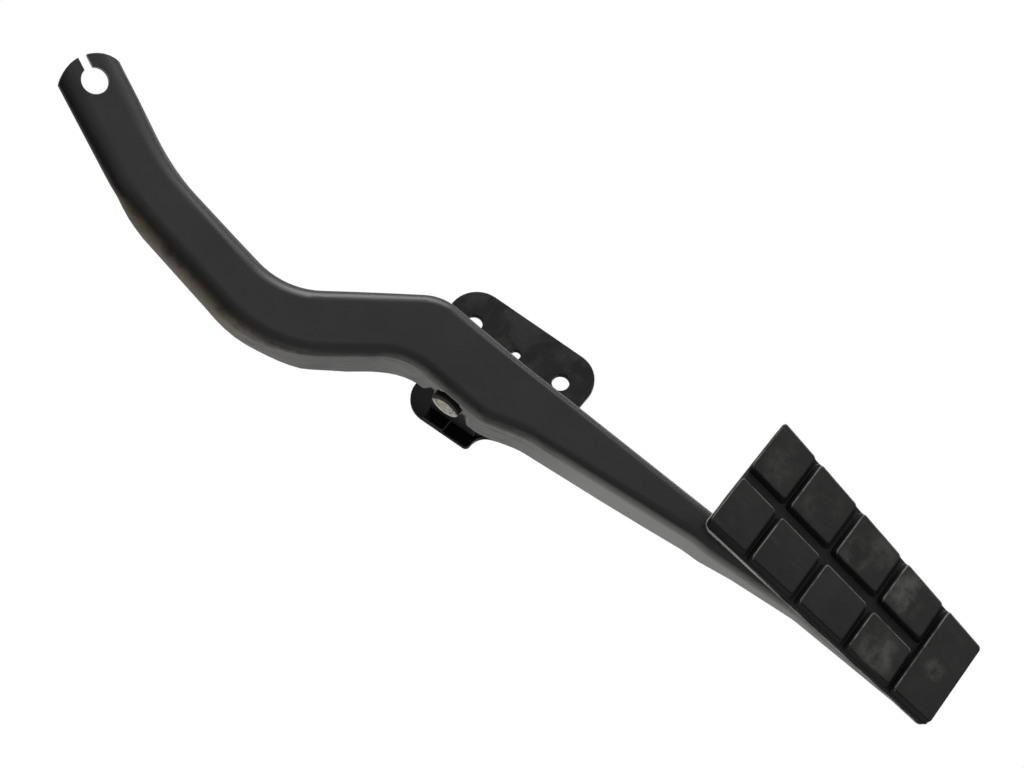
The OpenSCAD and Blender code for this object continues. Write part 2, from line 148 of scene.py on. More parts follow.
def twin(obj, name):
    other = obj.copy()
    other.data = obj.data.copy()
    other.name = other.data.name = name
    bpy.context.scene.collection.objects.link(other)
    return other


def joined(name, *objs):
    pickOnly(*objs)
    bpy.ops.object.join()
    return named(name)


def copyOf(node, name):
    # a CAD node's mesh is loose triangles, so its copy is merged
    obj = twin(nodes[node], name)
    for key in list(obj.keys()):
        del obj[key]
    obj.parent = None
    editOn(obj, "VERT")
    bpy.ops.mesh.select_all(action="SELECT")
    bpy.ops.mesh.remove_doubles(threshold=0.004 * mm)
    editOff()
    return obj


# marks on a mesh that its finish reads
def flagPoints(piece, name, value):
    flag = piece.data.attributes.new(name, "FLOAT", "POINT")
    for vert in piece.data.vertices:
        flag.data[vert.index].value = max(0.0, min(1.0, value(vert)))


def flagFaces(piece, name, test):
    flag = piece.data.attributes.new(name, "FLOAT", "FACE")
    for face in piece.data.polygons:
        flag.data[face.index].value = 1.0 if test(face) else 0.0


# shader maths written on sockets
class Signal:
    def __init__(self, finish, socket):
        self.finish, self.socket = finish, socket

    def maths(self, operation, a, b):
        return self.finish.add("Math", {"operation": operation}, {0: a, 1: b})

    def __add__(self, other):
        return self.maths("ADD", self, other)

    def __radd__(self, other):
        return self.maths("ADD", other, self)

    def __sub__(self, other):
        return self.maths("SUBTRACT", self, other)

    def __rsub__(self, other):
        return self.maths("SUBTRACT", other, self)

    def __mul__(self, other):
        return self.maths("MULTIPLY", self, other)

    def __rmul__(self, other):
        return self.maths("MULTIPLY", other, self)


class Finish:
    def __init__(self, name, **fixed):
        self.material = bpy.data.materials.new(name)
        self.material.use_nodes = True
        self.tree = self.material.node_tree
        self.tree.nodes.clear()
        self.shader = self.tree.nodes.new("ShaderNodeBsdfPrincipled")
        output = self.tree.nodes.new("ShaderNodeOutputMaterial")
        self.tree.links.new(self.shader.outputs[0], output.inputs[0])
        for socket, value in fixed.items():
            self.shader.inputs[socket.replace("_", " ")].default_value = value
        self.here = self.add("TexCoord", output="Object")

    def add(self, kind, settings=None, inputs=None, output=0):
        node = self.tree.nodes.new("ShaderNode" + kind)
        for key, value in (settings or {}).items():
            setattr(node, key, value)
        for key, value in (inputs or {}).items():
            if isinstance(value, Signal):
                self.tree.links.new(value.socket, node.inputs[key])
            else:
                node.inputs[key].default_value = value
        return Signal(self, node.outputs[output])

    def feed(self, socket, signal):
        self.tree.links.new(signal.socket, self.shader.inputs[socket])

    # places
    def vector(self, operation, inputs, output=0):
        return self.add("VectorMath", {"operation": operation}, inputs, output)

    def inMm(self):
        return self.vector("SCALE", {0: self.here, "Scale": 1 / mm})

    def turned(self, where, axis, degrees):
        return self.add("VectorRotate", {"rotation_type": axis + "_AXIS"},
                        {"Vector": where, "Angle": math.radians(degrees)})

    def stretched(self, lean, scale):
        return self.add("Mapping", None, {"Vector": self.here, "Rotation": (0, lean, 0), "Scale": scale})

    def parts(self, vector):
        return [self.add("SeparateXYZ", None, {0: vector}, output=i) for i in range(3)]

    # patterns, whose scales are per metre unless a place in millimetres is given
    def noise(self, scale, detail=4, rough=0.55, where=None, distortion=0.0):
        return self.add("TexNoise", None, {"Vector": where or self.here, "Scale": scale, "Detail": detail,
                                           "Roughness": rough, "Distortion": distortion})

    def cells(self, scale):
        return self.add("TexVoronoi", {"feature": "F1"}, {"Vector": self.here, "Scale": scale},
                        output="Distance")

    def flag(self, name):
        return self.add("Attribute", {"attribute_name": name}, output="Fac")

    def step(self, signal, low, high, first=0.0, last=1.0):
        return self.add("MapRange", {"interpolation_type": "SMOOTHSTEP", "clamp": True},
                        {"Value": signal, "From Min": low, "From Max": high,
                         "To Min": first, "To Max": last})

    def spot(self, centre, size, where):
        # full over the inner third of its reach, then fading out
        moved = self.vector("SUBTRACT", {0: where, 1: centre})
        far = self.vector("LENGTH", {0: self.vector("DIVIDE", {0: moved, 1: size})}, "Value")
        return self.step(far, 0.35, 1.0, 1.0, 0.0)

    def spots(self, places, where):
        return sum(self.spot(centre, size, where) * strength for centre, size, strength in places)

    # colours and relief
    def blend(self, factor, *tones):
        below, above = [tone if isinstance(tone, Signal) else (*tone, 1) for tone in tones]
        return self.add("Mix", {"data_type": "RGBA"}, {0: factor, 6: below, 7: above}, output=2)

    def layered(self, tone, *layers):
        # each layer has its mask, how strongly it shows and its colour
        for mask, (strength, colour) in layers:
            tone = self.blend(mask * strength, tone, colour)
        return tone

    def relief(self, *layers, radius):
        # rounded edges, then bumps of a height, a strength and a depth in millimetres
        normal = self.add("Bevel", {"samples": 6}, {"Radius": radius * mm})
        for height, strength, depth in layers:
            normal = self.add("Bump", None, {"Height": height, "Strength": strength,
                                             "Distance": depth * mm, "Normal": normal})
        self.feed("Normal", normal)


def wear(obj, finish):
    obj.data.materials.clear()
    obj.data.materials.append(finish.material)


def armSpace(finish):
    # the arm's own upright frame, in millimetres
    at = finish.vector("SUBTRACT", {0: finish.inMm(), 1: tuple(pivot / mm)})
    return finish.turned(at, "X", -restSettings["armLean"])


def padSpace(finish):
    # the pad's own frame, in millimetres, its upper edge at 0
    at = finish.vector("SUBTRACT", {0: finish.inMm(), 1: tuple(padPlace.translation / mm)})
    at = finish.turned(at, "X", -restSettings["armLean"] - restSettings["padLean"])
    return finish.turned(at, "Y", -restSettings["padTurn"])


# satin black on the arm: in each layer, how strongly it shows and its colour
armFinish = {
    "black": ((0.0105, 0.0106, 0.0102), (0.0150, 0.0149, 0.0142)), "rough": 0.37, "ior": 1.5,
    "film": (0.5, (0.040, 0.038, 0.033)), "brown": (0.85, (0.150, 0.112, 0.066)),
    "dragLinesAndSheen": (0.8, (0.165, 0.161, 0.146)), "lowerSheen": (0.8, (0.260, 0.256, 0.240)),
    "lugFaceSheen": (0.6, (0.080, 0.078, 0.072)), "lugSideDimSheen": (0.5, (0.130, 0.127, 0.118)),
    "smudge": (0.5, (0.006, 0.006, 0.006)), "scuff": (0.55, (0.085, 0.084, 0.080)),
    "grit": (0.25, (0.06, 0.06, 0.057)),
    # heights on the arm over which the brown film and the painted sheens come in or go out
    "brownIn": (56, 84), "brownOut": (175, 150), "sheenIn": (104, 66), "lowerSheenIn": (-25, -70),
    # places on the arm, how far each reaches and its strength
    "lug": ((-14, 0, -3), (40, 19, 19)),
    "scuffs": (((1.2, -17, 12.6), (8, 6, 6), 1), ((5.6, -17, 3.5), (5, 6, 6), 1),
               ((-17.6, -17, 52.7), (7, 6, 5), 1), ((-37.3, -17, 72), (6, 6, 6), 1)),
    "smudges": (((-32.7, -17, 54.3), (5, 6, 7), 1), ((-2, -17, 60), (9, 6, 4), 1),
                ((6, -17, -38), (7, 6, 8), 1)),
}


def paintArm(s):
    paint = Finish("armPaint", Metallic=0.0, IOR=s["ior"])
    arm = armSpace(paint)
    x, _, z = paint.parts(arm)
    cloud = paint.noise(30, 5, 0.6)
    mottle = paint.noise(95, 6, 0.7)
    orangePeel = paint.noise(260, 2, 0.4)
    fine = paint.noise(1100, 3, 0.5)
    grit = paint.step(paint.cells(520), 0.11, 0.04) * paint.step(paint.noise(55, 3), 0.52, 0.64)
    # the outer flange has a brown film at the crank, drag lines of the press along it, and a painted sheen
    # where it turns to the left
    side = paint.flag("flange")
    drag = paint.noise(1.0, 5, 0.65, where=paint.vector("MULTIPLY", {0: arm, 1: (0.03, 1.1, 0.03)}))
    film = side * paint.step(mottle, 0.4, 0.7)
    brown = (side * paint.step(z, *s["brownIn"]) * paint.step(z, *s["brownOut"])
             * paint.step(mottle, 0.34, 0.58))
    lug = paint.spot(*s["lug"], arm)
    # painted light round the pin's lug: its faces painted mid grey as sheen, and the flange over it a
    # dimmer sheen, as it lies in shade
    lugFaceSheen = lug * paint.step(x, -6, -9) * (1 - side)
    # painted sheen: the flange where it turns to the left is painted light grey, streaked by the drag
    # lines
    dragLinesAndSheen = (side * (1 - lug) * paint.step(z, *s["sheenIn"])
            * paint.step(drag * 0.55 + mottle * 0.45, 0.36, 0.60))
    # painted sheen, lighter again on the flange towards the pad
    lowerSheen = side * paint.step(z, *s["lowerSheenIn"])
    # small scuffs where a shoe and tools have touched the face
    scratch = paint.noise(1.0, 4, 0.6, where=paint.vector("MULTIPLY", {0: arm, 1: (0.55, 1, 1.9)}))
    scuff = paint.spots(s["scuffs"], arm) * paint.step(scratch, 0.60, 0.68)
    smudge = paint.spots(s["smudges"], arm) * paint.step(mottle, 0.45, 0.6)
    paint.feed("Base Color", paint.layered(
        paint.blend(paint.step(cloud, 0.3, 0.7), *s["black"]),
        (film, s["film"]), (brown, s["brown"]), (dragLinesAndSheen, s["dragLinesAndSheen"]), (lowerSheen, s["lowerSheen"]),
        (lugFaceSheen, s["lugFaceSheen"]), (lug * side, s["lugSideDimSheen"]), (smudge, s["smudge"]),
        (scuff, s["scuff"]), (grit, s["grit"])))
    paint.feed("Roughness", s["rough"] + cloud * 0.10 + film * 0.06 + brown * 0.05 + scuff * 0.2)
    paint.relief((orangePeel, 0.05, 0.10), (fine, 0.08, 0.04), (drag, side * 0.25, 0.12), radius=0.5)
    return paint


# semi-gloss paint on the bracket, with hazy patches, smears and dust only on its right part, so it stays
# darker to the left by the arm, and with painted light on its cut edge and on the left of the saddle's
# ears
plateFinish = {
    "black": ((0.0058, 0.0059, 0.0054), (0.0100, 0.0100, 0.0092)), "rough": 0.28, "gloss": 0.26,
    "haze": (0.14, (0.046, 0.045, 0.040)), "smear": (0.18, (0.085, 0.083, 0.076)),
    "dust": (0.5, (0.10, 0.098, 0.09)), "rimHighlight": (0.6, (0.24, 0.235, 0.22)),
    "ear": (0.8, (0.070, 0.068, 0.063)),
    "rightPartFrom": (0, 22), "earFrom": (-9.5, -10.5), "earFilmFrom": (-7, -16),
}


def paintPlate(s):
    paint = Finish("platePaint", Metallic=0.0, Specular_IOR_Level=s["gloss"])
    x, y, _ = paint.parts(paint.inMm())
    cloud = paint.noise(55, 6, 0.65)
    fine = paint.noise(1200, 2, 0.5)
    # the lighter layers come in only from the arm's middle outwards to the right
    rightPart = paint.step(x, *s["rightPartFrom"])
    dust = paint.step(paint.cells(420), 0.15, 0.05) * paint.step(paint.noise(90, 3), 0.50, 0.62)
    haze = paint.step(paint.noise(70, 6, 0.7, distortion=0.5), 0.42, 0.66)
    smear = paint.step(paint.noise(1.0, 5, 0.6, where=paint.stretched(0.62, (45, 60, 330))), 0.56, 0.70)
    # painted light on the left of the saddle's ears: lighter grey away from the plate, darker near it
    ear = paint.step(x, *s["earFrom"]) * paint.step(y, *s["earFilmFrom"])
    # painted highlight in light grey on the flagged cut edges
    paint.feed("Base Color", paint.layered(
        paint.blend(paint.step(cloud, 0.35, 0.7), *s["black"]),
        (haze * rightPart, s["haze"]), (smear * rightPart, s["smear"]), (dust * rightPart, s["dust"]),
        (paint.flag("rimHighlight"), s["rimHighlight"]), (ear, s["ear"])))
    paint.feed("Roughness", s["rough"] + haze * rightPart * 0.18 + cloud * 0.06 + paint.flag("flank") * 0.5)
    paint.relief((fine, 0.08, 0.03), (cloud, 0.08, 0.3), radius=0.35)
    return paint


# plate under the tread, with a painted highlight on its cut edge near the upper left corner, painted as
# light half-metallic steel
padPlateFinish = {
    "black": ((0.010, 0.010, 0.0098), (0.017, 0.0168, 0.016)), "rough": 0.42,
    "steel": (1, (0.80, 0.78, 0.74)), "highlightAcross": (-12, -19), "highlightAlong": (-48, -22),
}


def paintPadPlate(s):
    paint = Finish("padPlatePaint", Metallic=0.0)
    x, _, z = paint.parts(padSpace(paint))
    cloud = paint.noise(60, 5, 0.6)
    # painted highlight along the plate's side faces near the upper left corner
    highlightStretch = paint.step(z, *s["highlightAlong"]) + paint.step(paint.noise(60, 4, 0.6), 0.35, 0.6) * 0.30
    rubbedHighlight = (paint.flag("rimHighlight") * paint.step(x, *s["highlightAcross"]) * highlightStretch
              * paint.step(paint.noise(140, 5, 0.65), 0.28, 0.44))
    paint.feed("Base Color", paint.layered(
        paint.blend(paint.step(cloud, 0.35, 0.7), *s["black"]), (rubbedHighlight, s["steel"])))
    paint.feed("Metallic", rubbedHighlight * 0.5)
    paint.feed("Roughness", s["rough"] + cloud * 0.12)
    paint.relief((paint.noise(1100, 3, 0.5), 0.1, 0.03), radius=0.3)
    return paint


# moulded rubber, dusty on the blocks that a shoe rubs, with painted shade on its walls and painted
# highlights on its rolled edges that look up or to the right
rubberFinish = {
    "black": ((0.0150, 0.0152, 0.0142), (0.0230, 0.0231, 0.0220)), "rough": 0.44, "gloss": 0.42,
    "ior": 1.47, "wall": (0.9, (0.0030, 0.0030, 0.0028)), "edge": (1, (0.20, 0.198, 0.19)),
    "dust": (0.75, (0.130, 0.128, 0.120)), "streak": (0.14, (0.10, 0.10, 0.097)),
    "speck": (0.35, (0.16, 0.16, 0.15)),
    # dusty places on the pad, how far each reaches and its strength
    "patches": (((8, -8, -57), (9, 9, 9), 1), ((12, -8, -85), (13, 9, 11), 1.2),
                ((-14, -8, -90), (12, 9, 14), 1), ((-2, -8, -115), (6, 9, 6), 1.3),
                ((12, -8, -33), (13, 9, 11), 0.5), ((12, -8, -8), (14, 9, 10), 0.5),
                ((17, -8, -65), (8, 9, 14), 0.6)),
}


def mouldRubber(s):
    rubber = Finish("treadRubber", Metallic=0.0, Specular_IOR_Level=s["gloss"], IOR=s["ior"])
    cloud = rubber.noise(85, 6, 0.68)
    grain = rubber.noise(1500, 3, 0.6)
    wisp = rubber.noise(140, 6, 0.7, distortion=1.2)
    mottled = rubber.step(cloud, 0.38, 0.70)
    speck = rubber.step(rubber.cells(330), 0.10, 0.03) * rubber.step(rubber.noise(120, 2), 0.5, 0.6)
    streak = rubber.step(rubber.noise(1.0, 4, 0.6, where=rubber.stretched(0.7, (420, 60, 60))), 0.58, 0.70)
    # the walls are in painted shade, near black
    onTop, wall, edge = rubber.flag("tread"), rubber.flag("wall"), rubber.flag("edge")
    dusty = onTop * (rubber.spots(s["patches"], padSpace(rubber)) * mottled + wisp * 0.10)
    # painted highlight on the rolled edges that look up or to the right, in broken streaks
    rubbedHighlight = edge * rubber.step(rubber.noise(150, 4, 0.6), 0.36, 0.56)
    rubber.feed("Base Color", rubber.layered(
        rubber.blend(mottled, *s["black"]),
        (wall, s["wall"]), (rubbedHighlight * 0.75 + edge * 0.15, s["edge"]), (dusty, s["dust"]),
        (onTop * streak, s["streak"]), (onTop * speck, s["speck"])))
    rubber.feed("Roughness", s["rough"] + cloud * 0.10 + dusty * 0.15 + wall * 0.35)
    rubber.relief((grain, 0.16, 0.04), (wisp, 0.10, 0.10), radius=0.2)
    return rubber


# zinc of the pin, with painted shade on the part of its head that faces the driver
pinFinish = {
    "zinc": ((0.40, 0.385, 0.34), (0.20, 0.188, 0.162)), "rough": 0.42,
    "boss": (0.7, (0.25, 0.185, 0.15)), "headShade": (1, (0.005, 0.0045, 0.0035)),
    "fringe": (0.7, (0.16, 0.085, 0.04)),
    "bossSpot": ((-15.5, 1.0, 0.4), (2.5, 2.4, 3.2)), "ragged": 2.0, "curve": 0.10,
    # places across the head, measured from the pin's centre towards the plate
    "faceFrom": (-15.35, -15.05), "faceShade": (2.5, 1.0), "shadeEdge": (-2.9, -3.4),
    "fringeInside": (-4.3, -3.3), "fringeOutside": (-0.7, -2.5),
}


def zincPinWithShade(s):
    zinc = Finish("pinZinc", Metallic=1.0)
    fromPin = zinc.vector("SUBTRACT", {0: zinc.inMm(), 1: tuple(pivot / mm)})
    x, y, z = zinc.parts(fromPin)
    cloud = zinc.noise(520, 6, 0.7)
    across = y + (zinc.noise(900, 4, 0.7) - 0.5) * s["ragged"]
    arc = across - z * z * s["curve"]
    # painted shade, near black, on the head's side and on the half of its face towards the driver, with a
    # brown fringe at its edge
    onSide = zinc.step(x, *s["faceFrom"]) * zinc.step(across, *s["faceShade"])
    onFace = zinc.step(arc, *s["shadeEdge"])
    headShade = 1 - (1 - onSide) * (1 - onFace)
    fringe = (zinc.step(arc, *s["fringeInside"]) * onFace
              + zinc.step(arc, *s["fringeOutside"]) * (1 - onFace) * 0.35)
    dull = zinc.step(cloud, 0.40, 0.68)
    zinc.feed("Base Color", zinc.layered(
        zinc.blend(dull, *s["zinc"]),
        (zinc.spot(*s["bossSpot"], fromPin), s["boss"]), (headShade, s["headShade"]), (fringe, s["fringe"])))
    zinc.feed("Metallic", 1 - headShade)
    zinc.feed("Roughness", s["rough"] + dull * 0.14 + headShade * 0.4)
    zinc.relief((zinc.noise(2400, 2, 0.5), 0.15, 0.02), (cloud, 0.2, 0.06), radius=0.2)
    return zinc


# bare or plated steel of the small parts: its colour and its roughness
washerFinish = {"tone": (0.58, 0.56, 0.51), "rough": 0.36}
clipFinish = {"tone": (0.20, 0.19, 0.18), "rough": 0.38}
springFinish = {"tone": (0.17, 0.16, 0.15), "rough": 0.42}


def plateSteel(name, s):
    steel = Finish(name, Metallic=1.0)
    cloud = steel.noise(420, 6, 0.7)
    dull = steel.step(cloud, 0.38, 0.68)
    steel.feed("Base Color", steel.blend(dull, s["tone"], tuple(c * 0.62 for c in s["tone"])))
    steel.feed("Roughness", s["rough"] + dull * 0.18)
    steel.relief((steel.noise(2600, 2, 0.5), 0.15, 0.02), (cloud, 0.2, 0.06), radius=0.2)
    return steel


# natural nylon of the bushes
nylonFinish = {"tones": ((0.55, 0.52, 0.42), (0.42, 0.38, 0.28)), "rough": 0.42}


def castNylon(s):
    nylon = Finish("bushNylon", Metallic=0.0)
    cloud = nylon.noise(300, 4, 0.6)
    nylon.feed("Base Color", nylon.blend(nylon.step(cloud, 0.4, 0.7), *s["tones"]))
    nylon.feed("Roughness", s["rough"] + cloud * 0.12)
    nylon.relief((nylon.noise(1600, 2, 0.5), 0.1, 0.02), radius=0.15)
    return nylon


armPaint = paintArm(armFinish)
platePaint = paintPlate(plateFinish)
padPaint = paintPadPlate(padPlateFinish)
mouldedRubber = mouldRubber(rubberFinish)
pinZinc = zincPinWithShade(pinFinish)
washerZinc = plateSteel("washerZinc", washerFinish)
clipSteel = plateSteel("clipSteel", clipFinish)
springSteel = plateSteel("springSteel", springFinish)
bushNylon = castNylon(nylonFinish)
print("stage: finishes made")


# a pressed or turned solid with its edges eased
easing = {"flat": 0.4, "sharp": 32, "segments": 2, "weight": 60}


def eased(node, name, body, finish, width, sharp=easing["sharp"]):
    piece = copyOf(node, name)
    editOn(piece, "FACE")
    bpy.ops.mesh.select_all(action="SELECT")
    bpy.ops.mesh.dissolve_limited(angle_limit=math.radians(easing["flat"]))
    editOff()
    addMod(piece, "BEVEL", width=width * mm, segments=easing["segments"], limit_method="ANGLE",
           angle_limit=math.radians(sharp), use_clamp_overlap=True)
    applyMods(piece)
    smoothByAngle(piece, sharp)
    addMod(piece, "WEIGHTED_NORMAL", keep_sharp=True, weight=easing["weight"])
    applyMods(piece)
    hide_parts(node)
    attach(piece, body)
    wear(piece, finish)
    return piece


# pressed arm; its finish reads how far a face turns to the left as flange
armSettings = {"edgeRound": 0.35, "sharp": 38, "flangeFrom": 0.58, "flangeTo": 0.86}


def makeArm(s):
    arm = eased("pedal_arm", "pressedArm", "arm", armPaint, s["edgeRound"], s["sharp"])
    span = s["flangeTo"] - s["flangeFrom"]
    flagPoints(arm, "flange", lambda v: (-v.normal.x - s["flangeFrom"]) / span)


makeArm(armSettings)
print("stage: arm made")


# bracket: plate, saddle and the weld beads along the saddle's foot
bracketSettings = {"plateRound": 0.4, "saddleRound": 0.3, "heelLeft": -8, "heelBack": -4.3}
weldSettings = {"reach": 6.2, "y": -2.7, "z": 10.9, "radius": 1.7, "flatness": 0.62, "step": 1.5,
                "around": 14, "rings": 8, "wobble": 0.10, "wobbleTurn": 2.4, "voxel": 0.28, "sharp": 60}


def flagFlank(piece):
    flagFaces(piece, "flank", lambda f: f.normal.x < -0.6)


def makePlate(s):
    plate = eased("base_plate", "basePlate", "bracket", platePaint, s["plateRound"])
    # painted highlight: the cut edge is painted light grey where it looks down and to the right
    flagFaces(plate, "rimHighlight", lambda f: abs(f.normal.y) < 0.8 and f.normal.z < -0.2 and f.normal.x > 0.1)
    flagFlank(plate)


def makeSaddle(s):
    saddle = eased("pivot_saddle", "pivotSaddle", "bracket", platePaint, s["saddleRound"])
    # painted highlight on the lower edge of its left foot too
    flagFaces(saddle, "rimHighlight", lambda f: (f.normal.z < -0.8 and f.center.x < s["heelLeft"] * mm
                                        and f.center.y > s["heelBack"] * mm))
    flagFlank(saddle)


def weldBead(name, z, s):
    # one flat puddle, then copies of it laid along the seam and run together
    clearPick()
    bpy.ops.mesh.primitive_uv_sphere_add(segments=s["around"], ring_count=s["rings"],
                                         radius=s["radius"] * mm, location=(0, 0, 0))
    puddle = named(name)
    editOn(puddle)
    bpy.ops.mesh.select_all(action="SELECT")
    bpy.ops.transform.resize(value=(1.0, s["flatness"], 1.0))
    editOff()
    count = int(2 * s["reach"] / s["step"])
    puddles = [puddle] + [twin(puddle, name) for i in range(count)]
    for i, one in enumerate(puddles):
        at = Vector((s["reach"] * (2 * i / count - 1), s["y"], z)) * mm
        wobble = 1 + s["wobble"] * math.sin(i * s["wobbleTurn"])
        place(one, Matrix.Translation(at) @ Matrix.Diagonal((wobble, 1, 1 / wobble, 1)))
    bead = joined(name, *puddles)
    addMod(bead, "REMESH", mode="VOXEL", voxel_size=s["voxel"] * mm)
    applyMods(bead)
    smoothByAngle(bead, s["sharp"])
    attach(bead, "bracket")
    wear(bead, platePaint)


makePlate(bracketSettings)
makeSaddle(bracketSettings)
weldBead("saddleWeldLow", -weldSettings["z"], weldSettings)
weldBead("saddleWeldHigh", weldSettings["z"], weldSettings)
print("stage: bracket made")


# pin, turned from the bar: each step is a place along it and a radius
pinSettings = {
    "around": 72, "sharp": 35,
    "steps": ((16.5, 3.3), (15.75, 4.0), (15.3, 4.0), (15.3, 3.3), (14.35, 3.3), (14.35, 4.0),
              (-13.05, 4.0), (-13.05, 6.4), (-13.2, 6.62), (-13.4, 6.65), (-15.0, 6.65), (-15.2, 6.6),
              (-15.38, 6.42), (-15.45, 6.15), (-15.46, 4.5), (-15.40, 4.35), (-15.22, 4.25), (-15.22, 4.0),
              (-15.44, 3.85), (-15.50, 2.6), (-15.52, 1.2), (-15.52, 0.3)),
}


def makePin(s):
    clearPick()
    (x0, r0), others = s["steps"][0], s["steps"][1:]
    bpy.ops.mesh.primitive_circle_add(vertices=s["around"], radius=r0 * mm, fill_type="NGON",
                                      location=(x0 * mm, pivot.y, 0), rotation=(0, math.pi / 2, 0))
    applyPlace()
    pin = named("pivotPin")
    editOn(pin, "FACE")
    bpy.ops.mesh.select_all(action="SELECT")
    bpy.ops.mesh.normals_make_consistent(inside=False)
    for x, r in others:
        bpy.ops.mesh.extrude_region_move(TRANSFORM_OT_translate={"value": ((x - x0) * mm, 0, 0)})
        bpy.ops.transform.resize(value=(1, r / r0, r / r0), center_override=(x * mm, pivot.y, 0))
        x0, r0 = x, r
    bpy.ops.mesh.select_all(action="SELECT")
    bpy.ops.mesh.normals_make_consistent(inside=False)
    editOff()
    smoothByAngle(pin, s["sharp"])
    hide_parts("pivot_pin")
    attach(pin, "arm")
    wear(pin, pinZinc)


# how far the edges of the small parts are rounded
smallSettings = {"washerRound": 0.2, "clipRound": 0.15, "bushRound": 0.2}

makePin(pinSettings)
eased("pin_washer", "pinWasher", "arm", washerZinc, smallSettings["washerRound"])
eased("pin_clip", "pinClip", "arm", clipSteel, smallSettings["clipRound"])
eased("bush_left", "bushLeft", "bracket", bushNylon, smallSettings["bushRound"])
eased("bush_right", "bushRight", "bracket", bushNylon, smallSettings["bushRound"])
print("stage: pin made")


# return spring, wound round the pin between the saddle's ears
springSettings = {
    "wire": 1.9, "coil": 5.65, "length": 11.5, "turns": 5, "steps": 28, "start": -100,
    # where each leg bears, measured off the pin, and how much further its tip goes out and down
    "legDrop": 23, "webLeg": -13.55, "webTip": (-0.1, 4), "plateLeg": 24.75, "plateTip": (0.2, 3),
    "roundness": 4, "sharp": 50,
}


def makeSpring(s):
    half, low = s["length"] / 2, -s["legDrop"]
    lean = about("X", restSettings["armLean"], 3)
    (webOut, webDown), (plateOut, plateDown) = s["webTip"], s["plateTip"]
    # the first leg lies on the arm's web, so it leans with the arm
    points = [lean @ Vector((-half, s["webLeg"] + webOut, low - webDown)),
              lean @ Vector((-half, s["webLeg"], low))]
    count = int(s["steps"] * (s["turns"] + 0.5))
    for i in range(count + 1):
        turn = math.radians(s["start"] - i * 360 / s["steps"])
        points.append((-half + s["length"] * i / count, s["coil"] * math.sin(turn),
                       -s["coil"] * math.cos(turn)))
    points += [(half, s["plateLeg"], low), (half, s["plateLeg"] + plateOut, low - plateDown)]
    curve = bpy.data.curves.new("returnSpring", "CURVE")
    curve.dimensions = "3D"
    curve.bevel_depth = s["wire"] / 2 * mm
    curve.bevel_resolution = s["roundness"]
    curve.use_fill_caps = True
    spline = curve.splines.new("POLY")
    spline.points.add(len(points) - 1)
    for point, (x, y, z) in zip(spline.points, points):
        point.co = (x * mm, y * mm + pivot.y, z * mm, 1)
    spring = bpy.data.objects.new("returnSpring", curve)
    bpy.context.scene.collection.objects.link(spring)
    pickOnly(spring)
    bpy.ops.object.convert(target="MESH")
    spring = named("returnSpring")
    smoothByAngle(spring, s["sharp"])
    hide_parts("return_spring")
    wear(spring, springSteel)
    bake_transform(spring)


makeSpring(springSettings)
print("stage: spring made")


# rubber tread, in the pad's own frame
treadSettings = {
    # a row's upper or lower edge, or a column's side, is a line: its place and its slope
    "rows": (((1.7, 0.010), (-18.7, 0.023)), ((-22.3, 0.023), (-45.6, 0.036)),
             ((-49.9, 0.029), (-74.4, 0.054)), ((-78.4, 0.038), (-101.7, 0.063)),
             ((-105.1, 0.048), (-126.4, 0.062))),
    "left": (-26.6, -0.0545), "right": (26.8, 0.0575), "middle": ((-3.0, 0), (2.8, 0)),
    "height": 4.3, "sink": 0.05, "corners": 1.6, "cornerSegments": 5, "roll": 0.85, "rollSegments": 4,
    "skirt": 0.5, "sharp": 40,
    # how far a block's foot spreads past its top, also at the pad's right, upper and lower edges
    "foot": {"left": 0.5, "right": 0.3, "upper": 0.1, "lower": 2.2},
    "footAtRight": 1.0, "footAtTop": -1.6, "footAtBottom": 0.4,
}
baseSettings = {"left": (-27.5, -0.0545), "right": (28.0, 0.0575), "upper": (-0.4, 0.0),
                "lower": (-126.6, 0.06), "near": 1.6, "far": 3.8, "corners": 3.0, "cornerSegments": 8,
                "roll": 0.4, "rollSegments": 4}
buttonSettings = {"places": ((12, -20.32), (9, -62.23), (8, -104.14)), "around": 40, "stub": 3.4,
                  "stubLength": 1.6, "lipStep": 0.02, "lip": 1.38, "lipHeight": 0.5, "tipHeight": 1.45,
                  "tip": 0.55, "tipFrom": 1.5, "tipRound": 0.5, "tipSegments": 3}


def crossing(row, side):
    # where a row's edge meets a column's side
    (z0, rise), (x0, lean) = row, side
    z = (z0 + rise * x0) / (1 - rise * lean)
    return x0 + lean * z, z


def outline(upper, lower, left, right):
    return [crossing(upper, left), crossing(upper, right), crossing(lower, right), crossing(lower, left)]


def flareSkirt(block, corners, near, skirt):
    # the block's lowest edge runs out a little into the base
    bpy.ops.mesh.select_all(action="SELECT")
    bpy.ops.mesh.bisect(plane_co=(0, -(near + skirt) * mm, 0), plane_no=(0, 1, 0))
    bpy.ops.mesh.select_all(action="DESELECT")
    selectVerts(block, lambda co: co.y > -near * mm - touch)
    wide = corners[1][0] - corners[0][0]
    tall = corners[0][1] - corners[3][1]
    middle = sum((Vector((x, -near, z)) for x, z in corners), Vector()) / 4 * mm
    bpy.ops.transform.resize(value=(1 + skirt / wide, 1, 1 + skirt / tall), center_override=middle)
    bpy.ops.mesh.select_all(action="DESELECT")


